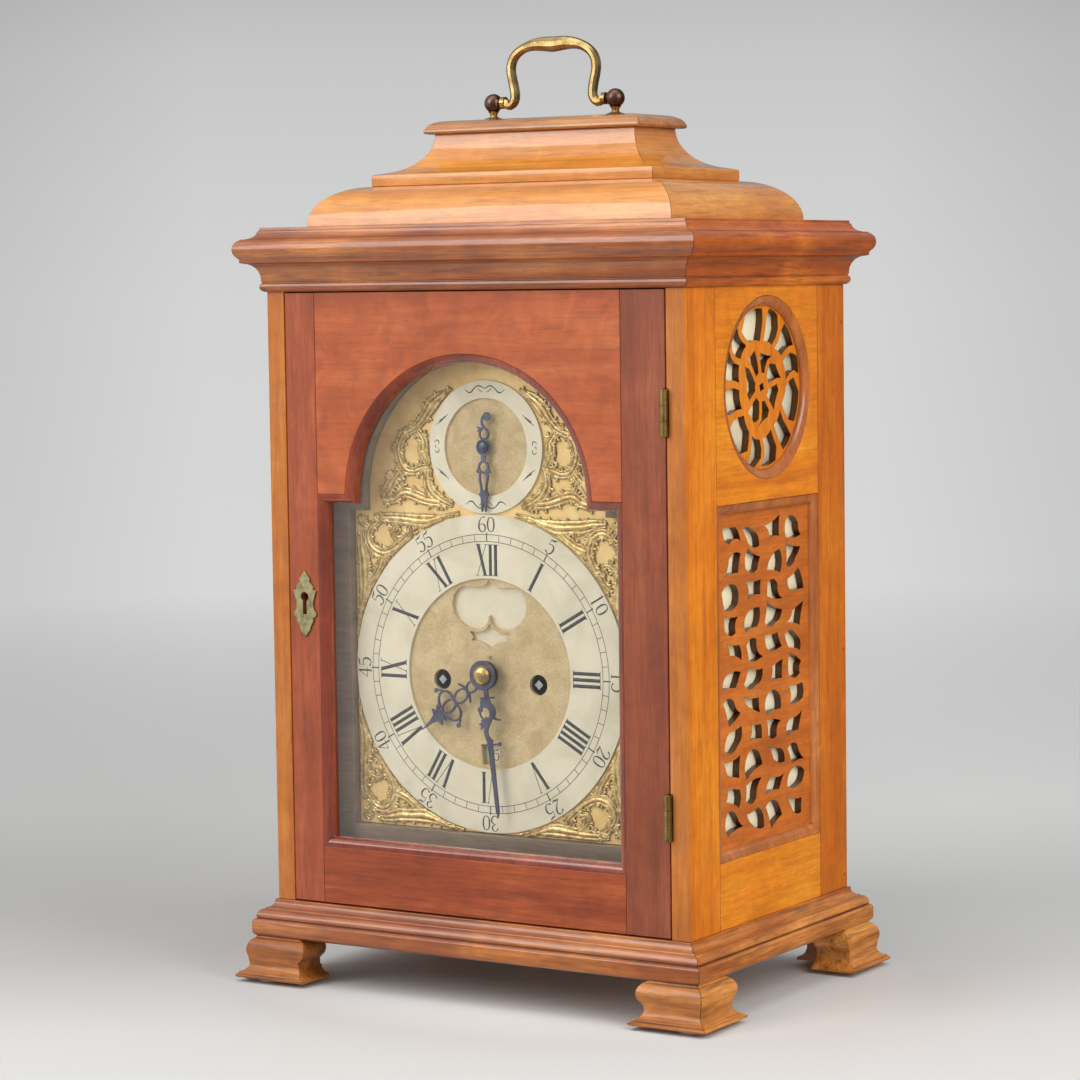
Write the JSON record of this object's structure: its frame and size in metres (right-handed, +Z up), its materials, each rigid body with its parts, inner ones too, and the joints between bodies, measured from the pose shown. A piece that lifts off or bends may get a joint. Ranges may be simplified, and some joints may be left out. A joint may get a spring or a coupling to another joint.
{
  "type": "bracket clock",
  "caption": "Wooden bracket clock with a bell top, a swinging brass handle, a glazed arched door, pierced side frets, a brass and silvered dial and a two-train spring movement.",
  "frame": {"origin": "middle of the footprint, on the surface that the feet stand on", "axes": "+Z up, the dial faces -Y, +X to the right of someone who faces the dial"},
  "size_m": [0.3074, 0.2214, 0.5337],
  "materials": {
    "mahogany": "satin",
    "light_mahogany": "satin",
    "antique_brass": "aged",
    "gilt_brass": "satin",
    "silvered_brass": "matt silvered",
    "blued_steel": "blued",
    "steel": "satin",
    "bell_metal": "satin",
    "glass": "clear",
    "cloth": "plain weave",
    "pads": "matt"
  },
  "bodies": {
    "case": {"base_moulding": "mahogany", "base_board": "light_mahogany", "bracket_feet": "mahogany", "foot_pads": "pads", "left_side": "light_mahogany", "right_side": "light_mahogany", "round_frets": "light_mahogany", "panel_frets": "light_mahogany", "fret_mouldings": "mahogany", "fret_cloths": "cloth", "case_top": "light_mahogany", "cornice": "mahogany", "bell_lower": "light_mahogany", "bell_upper": "light_mahogany", "cap_board": "light_mahogany", "handle_posts": "antique_brass", "dial_surround": "mahogany", "case_hinges": "antique_brass", "dial_plate": "gilt_brass", "chapter_ring": "silvered_brass", "strike_ring": "silvered_brass", "spandrels": "gilt_brass", "name_plate": "silvered_brass", "front_plate": "gilt_brass", "back_plate": "gilt_brass", "seatboard": "light_mahogany", "bell": "bell_metal"},
    "handle": {"handle_bail": "antique_brass"},
    "front_door": {"door_left_stile": "mahogany", "door_right_stile": "mahogany", "door_arch_panel": "mahogany", "door_bottom_rail": "mahogany", "door_moulding": "mahogany", "door_glass": "glass", "lock_escutcheon": "antique_brass", "door_lock": "steel", "door_hinges": "antique_brass"},
    "bolt": {"lock_bolt": "steel"},
    "back_door": {"back_door_frame": "mahogany", "back_door_glass": "glass", "back_door_hinges": "antique_brass"},
    "latch": {"back_latch": "antique_brass"},
    "minute": {"minute_hand": "blued_steel"},
    "motion": {"minute_wheel": "gilt_brass"},
    "hour": {"hour_hand": "blued_steel", "hour_wheel": "gilt_brass"},
    "strike_pointer": {"strike_hand": "blued_steel"},
    "date": {"date_ring": "silvered_brass"},
    "centre_arbor": {"centre_wheel": "gilt_brass"},
    "third_arbor": {"third_wheel": "gilt_brass"},
    "escape_arbor": {"escape_wheel": "gilt_brass"},
    "going_fusee_arbor": {"going_fusee": "gilt_brass"},
    "going_barrel_drum": {"going_barrel": "gilt_brass"},
    "pin_arbor": {"pin_wheel": "gilt_brass"},
    "gathering_arbor": {"gathering_wheel": "gilt_brass"},
    "strike_fusee_arbor": {"strike_fusee": "gilt_brass"},
    "strike_barrel_drum": {"strike_barrel": "gilt_brass"},
    "swing": {"pendulum": "gilt_brass", "pallets": "steel"},
    "hammer_arbor": {"hammer": "steel"}
  },
  "joints": [
    {"name": "front_door_hinge", "type": "hinge", "parent": "case", "child": "front_door", "pos_m": [0.1232, -0.0942, 0.219], "axis": [0, 0, 1], "range_deg": [0, 115]},
    {"name": "lock_bolt_slide", "type": "slide", "parent": "front_door", "child": "bolt", "axis": [-1, 0, 0], "range_m": [0, 0.005]},
    {"name": "back_door_hinge", "type": "hinge", "parent": "case", "child": "back_door", "pos_m": [-0.1232, 0.0942, 0.219], "axis": [0, 0, 1], "range_deg": [0, 115]},
    {"name": "back_latch_turn", "type": "hinge", "parent": "case", "child": "latch", "pos_m": [0.1293, 0.093, 0.2195], "axis": [0, 1, 0], "range_deg": [-90, 0]},
    {"name": "handle_swing", "type": "hinge", "parent": "case", "child": "handle", "pos_m": [0, 0, 0.4978], "axis": [1, 0, 0], "range_deg": [-88, 88]},
    {"name": "minute_hand_turn", "type": "hinge", "parent": "case", "child": "minute", "pos_m": [-0.0035, -0.07, 0.18], "axis": [0, 1, 0], "continuous": true},
    {"name": "minute_wheel_turn", "type": "hinge", "parent": "case", "child": "motion", "pos_m": [-0.0035, -0.052, 0.1584], "axis": [0, 1, 0], "continuous": true},
    {"name": "hour_hand_turn", "type": "hinge", "parent": "case", "child": "hour", "pos_m": [-0.0035, -0.066, 0.18], "axis": [0, 1, 0], "continuous": true},
    {"name": "strike_hand_turn", "type": "hinge", "parent": "case", "child": "strike_pointer", "pos_m": [-0.0035, -0.0685, 0.3059], "axis": [0, 1, 0], "range_deg": [0, 180]},
    {"name": "date_ring_turn", "type": "hinge", "parent": "case", "child": "date", "pos_m": [-0.0035, -0.0655, 0.18], "axis": [0, 1, 0], "continuous": true},
    {"name": "third_wheel_turn", "type": "hinge", "parent": "case", "child": "third_arbor", "pos_m": [0.00506, -0.0185, 0.20352], "axis": [0, 1, 0], "continuous": true},
    {"name": "centre_wheel_turn", "type": "hinge", "parent": "case", "child": "centre_arbor", "pos_m": [-0.0035, -0.0185, 0.18], "axis": [0, 1, 0], "continuous": true},
    {"name": "escape_wheel_turn", "type": "hinge", "parent": "case", "child": "escape_arbor", "pos_m": [-0.0035, -0.0185, 0.22297], "axis": [0, 1, 0], "continuous": true},
    {"name": "going_fusee_turn", "type": "hinge", "parent": "case", "child": "going_fusee_arbor", "pos_m": [0.0281, -0.0185, 0.1755], "axis": [0, 1, 0], "continuous": true},
    {"name": "going_barrel_turn", "type": "hinge", "parent": "case", "child": "going_barrel_drum", "pos_m": [0.034, -0.0185, 0.122], "axis": [0, 1, 0], "continuous": true},
    {"name": "gathering_wheel_turn", "type": "hinge", "parent": "case", "child": "gathering_arbor", "pos_m": [-0.02704, -0.0185, 0.21165], "axis": [0, 1, 0], "continuous": true},
    {"name": "pin_wheel_turn", "type": "hinge", "parent": "case", "child": "pin_arbor", "pos_m": [-0.04241, -0.0185, 0.20277], "axis": [0, 1, 0], "continuous": true},
    {"name": "strike_fusee_turn", "type": "hinge", "parent": "case", "child": "strike_fusee_arbor", "pos_m": [-0.0351, -0.0185, 0.1755], "axis": [0, 1, 0], "continuous": true},
    {"name": "strike_barrel_turn", "type": "hinge", "parent": "case", "child": "strike_barrel_drum", "pos_m": [-0.041, -0.0185, 0.122], "axis": [0, 1, 0], "continuous": true},
    {"name": "pendulum_swing", "type": "hinge", "parent": "case", "child": "swing", "pos_m": [-0.0035, 0.015, 0.24697], "axis": [0, 1, 0], "range_deg": [-4, 4]},
    {"name": "hammer_lift", "type": "hinge", "parent": "case", "child": "hammer_arbor", "pos_m": [-0.0615, -0.0185, 0.24], "axis": [0, 1, 0], "range_deg": [-12, 0]}
  ],
  "couplings": [
    {"joint": "minute_wheel_turn", "follows": "minute_hand_turn", "ratio": -1},
    {"joint": "hour_hand_turn", "follows": "minute_hand_turn", "ratio": 0.083333},
    {"joint": "centre_wheel_turn", "follows": "third_wheel_turn", "ratio": -0.083333},
    {"joint": "escape_wheel_turn", "follows": "third_wheel_turn", "ratio": -11.143},
    {"joint": "going_fusee_turn", "follows": "third_wheel_turn", "ratio": 0.0069444},
    {"joint": "going_barrel_turn", "follows": "third_wheel_turn", "ratio": 0.0047348},
    {"joint": "pin_wheel_turn", "follows": "gathering_wheel_turn", "ratio": -0.10938},
    {"joint": "strike_fusee_turn", "follows": "gathering_wheel_turn", "ratio": 0.010417},
    {"joint": "strike_barrel_turn", "follows": "gathering_wheel_turn", "ratio": 0.0071023}
  ]
}
